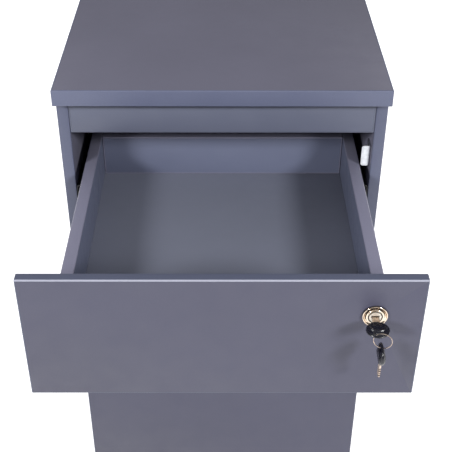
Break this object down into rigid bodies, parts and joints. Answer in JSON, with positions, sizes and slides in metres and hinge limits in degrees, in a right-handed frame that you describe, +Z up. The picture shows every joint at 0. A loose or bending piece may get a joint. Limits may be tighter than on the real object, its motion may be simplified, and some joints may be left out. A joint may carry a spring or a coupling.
{
  "type": "drawer pedestal",
  "caption": "Desk-high drawer pedestal with an overhanging top, a shallow open top drawer with a cam lock and keys, a second box drawer and a deep file drawer.",
  "frame": {"origin": "on the floor, at the middle of the footprint of the whole object as stored, with its top drawer open and its keys in the lock", "axes": "+Z up, +Y from the drawer fronts to the back, +X to the right as seen from the front"},
  "size_m": [0.4234, 0.798, 0.72],
  "materials": {
    "laminate": "slate blue-grey laminated particle board with matching edge bands, matt with a faint pebble",
    "slide_black": "black electrocoated steel, satin",
    "zinc_plate": "zinc-plated steel, satin",
    "lock_nickel": "bright nickel plate over zinc die-casting",
    "key_nickel": "nickel-plated brass and steel wire, bright, lightly rubbed",
    "key_plastic": "black moulded plastic, satin to glossy",
    "foot_plastic": "black moulded plastic, matt"
  },
  "bodies": {
    "carcass": {"top_panel": "laminate", "left_side_panel": "laminate", "right_side_panel": "laminate", "bottom_panel": "laminate", "back_panel": "laminate", "top_front_rail": "laminate", "front_left_foot": "foot_plastic", "front_right_foot": "foot_plastic", "rear_left_foot": "foot_plastic", "rear_right_foot": "foot_plastic", "strike_plate": "zinc_plate", "strike_screw_lower": "zinc_plate", "strike_screw_upper": "zinc_plate", "top_drawer_left_cabinet_member": "slide_black", "top_drawer_right_cabinet_member": "slide_black", "middle_drawer_left_cabinet_member": "slide_black", "middle_drawer_right_cabinet_member": "slide_black", "file_drawer_left_cabinet_member": "slide_black", "file_drawer_right_cabinet_member": "slide_black"},
    "top_drawer": {"top_drawer_front": "laminate", "top_drawer_left_wall": "laminate", "top_drawer_right_wall": "laminate", "top_drawer_back_wall": "laminate", "top_drawer_floor": "laminate", "top_drawer_left_drawer_member": "slide_black", "top_drawer_right_drawer_member": "slide_black", "escutcheon_ring": "lock_nickel", "lock_cylinder": "lock_nickel", "lock_nut": "zinc_plate"},
    "top_drawer_left_intermediate": {"top_drawer_left_intermediate_member": "slide_black"},
    "top_drawer_right_intermediate": {"top_drawer_right_intermediate_member": "slide_black"},
    "middle_drawer": {"middle_drawer_front": "laminate", "middle_drawer_left_wall": "laminate", "middle_drawer_right_wall": "laminate", "middle_drawer_back_wall": "laminate", "middle_drawer_floor": "laminate", "middle_drawer_left_drawer_member": "slide_black", "middle_drawer_right_drawer_member": "slide_black"},
    "middle_drawer_left_intermediate": {"middle_drawer_left_intermediate_member": "slide_black"},
    "middle_drawer_right_intermediate": {"middle_drawer_right_intermediate_member": "slide_black"},
    "file_drawer": {"file_drawer_front": "laminate", "file_drawer_left_wall": "laminate", "file_drawer_right_wall": "laminate", "file_drawer_back_wall": "laminate", "file_drawer_floor": "laminate", "file_drawer_left_drawer_member": "slide_black", "file_drawer_right_drawer_member": "slide_black"},
    "file_drawer_left_intermediate": {"file_drawer_left_intermediate_member": "slide_black"},
    "file_drawer_right_intermediate": {"file_drawer_right_intermediate_member": "slide_black"},
    "plug": {"lock_plug": "lock_nickel", "lock_cam": "zinc_plate", "cam_screw": "zinc_plate"},
    "key": {"key_blade": "key_nickel", "key_bow": "key_plastic"},
    "ring": {"split_ring": "key_nickel"},
    "spare_key": {"spare_key_blade": "key_nickel", "spare_key_bow": "key_plastic"}
  },
  "joints": [
    {"name": "top_drawer_slide", "type": "slide", "parent": "carcass", "child": "top_drawer", "axis": [0, -1, 0], "range_m": [-0.301, 0.097]},
    {"name": "top_drawer_left_intermediate_slide", "type": "slide", "parent": "carcass", "child": "top_drawer_left_intermediate", "axis": [0, -1, 0], "range_m": [-0.1505, 0.0485]},
    {"name": "top_drawer_right_intermediate_slide", "type": "slide", "parent": "carcass", "child": "top_drawer_right_intermediate", "axis": [0, -1, 0], "range_m": [-0.1505, 0.0485]},
    {"name": "middle_drawer_slide", "type": "slide", "parent": "carcass", "child": "middle_drawer", "axis": [0, -1, 0], "range_m": [0, 0.398]},
    {"name": "middle_drawer_left_intermediate_slide", "type": "slide", "parent": "carcass", "child": "middle_drawer_left_intermediate", "axis": [0, -1, 0], "range_m": [0, 0.199]},
    {"name": "middle_drawer_right_intermediate_slide", "type": "slide", "parent": "carcass", "child": "middle_drawer_right_intermediate", "axis": [0, -1, 0], "range_m": [0, 0.199]},
    {"name": "file_drawer_slide", "type": "slide", "parent": "carcass", "child": "file_drawer", "axis": [0, -1, 0], "range_m": [0, 0.398]},
    {"name": "file_drawer_left_intermediate_slide", "type": "slide", "parent": "carcass", "child": "file_drawer_left_intermediate", "axis": [0, -1, 0], "range_m": [0, 0.199]},
    {"name": "file_drawer_right_intermediate_slide", "type": "slide", "parent": "carcass", "child": "file_drawer_right_intermediate", "axis": [0, -1, 0], "range_m": [0, 0.199]},
    {"name": "lock_turn", "type": "hinge", "parent": "top_drawer", "child": "plug", "pos_m": [0.1583, -0.35498, 0.6158], "axis": [0, 1, 0], "range_deg": [0, 90]},
    {"name": "key_withdraw", "type": "slide", "parent": "plug", "child": "key", "axis": [0, -1, 0], "range_m": [0, 0.014]},
    {"name": "ring_hang", "type": "hinge", "parent": "key", "child": "ring", "pos_m": [0.1583, -0.38538, 0.6158], "axis": [0, 1, 0], "range_deg": [-90, 0]},
    {"name": "spare_key_swing", "type": "hinge", "parent": "ring", "child": "spare_key", "pos_m": [0.1628, -0.38682, 0.5995], "axis": [0.9659, -0.2588, 0], "range_deg": [-60, 25]}
  ],
  "couplings": [
    {"joint": "top_drawer_left_intermediate_slide", "follows": "top_drawer_slide", "ratio": 0.5},
    {"joint": "top_drawer_right_intermediate_slide", "follows": "top_drawer_slide", "ratio": 0.5},
    {"joint": "middle_drawer_left_intermediate_slide", "follows": "middle_drawer_slide", "ratio": 0.5},
    {"joint": "middle_drawer_right_intermediate_slide", "follows": "middle_drawer_slide", "ratio": 0.5},
    {"joint": "file_drawer_left_intermediate_slide", "follows": "file_drawer_slide", "ratio": 0.5},
    {"joint": "file_drawer_right_intermediate_slide", "follows": "file_drawer_slide", "ratio": 0.5},
    {"joint": "ring_hang", "follows": "lock_turn", "ratio": -1}
  ]
}
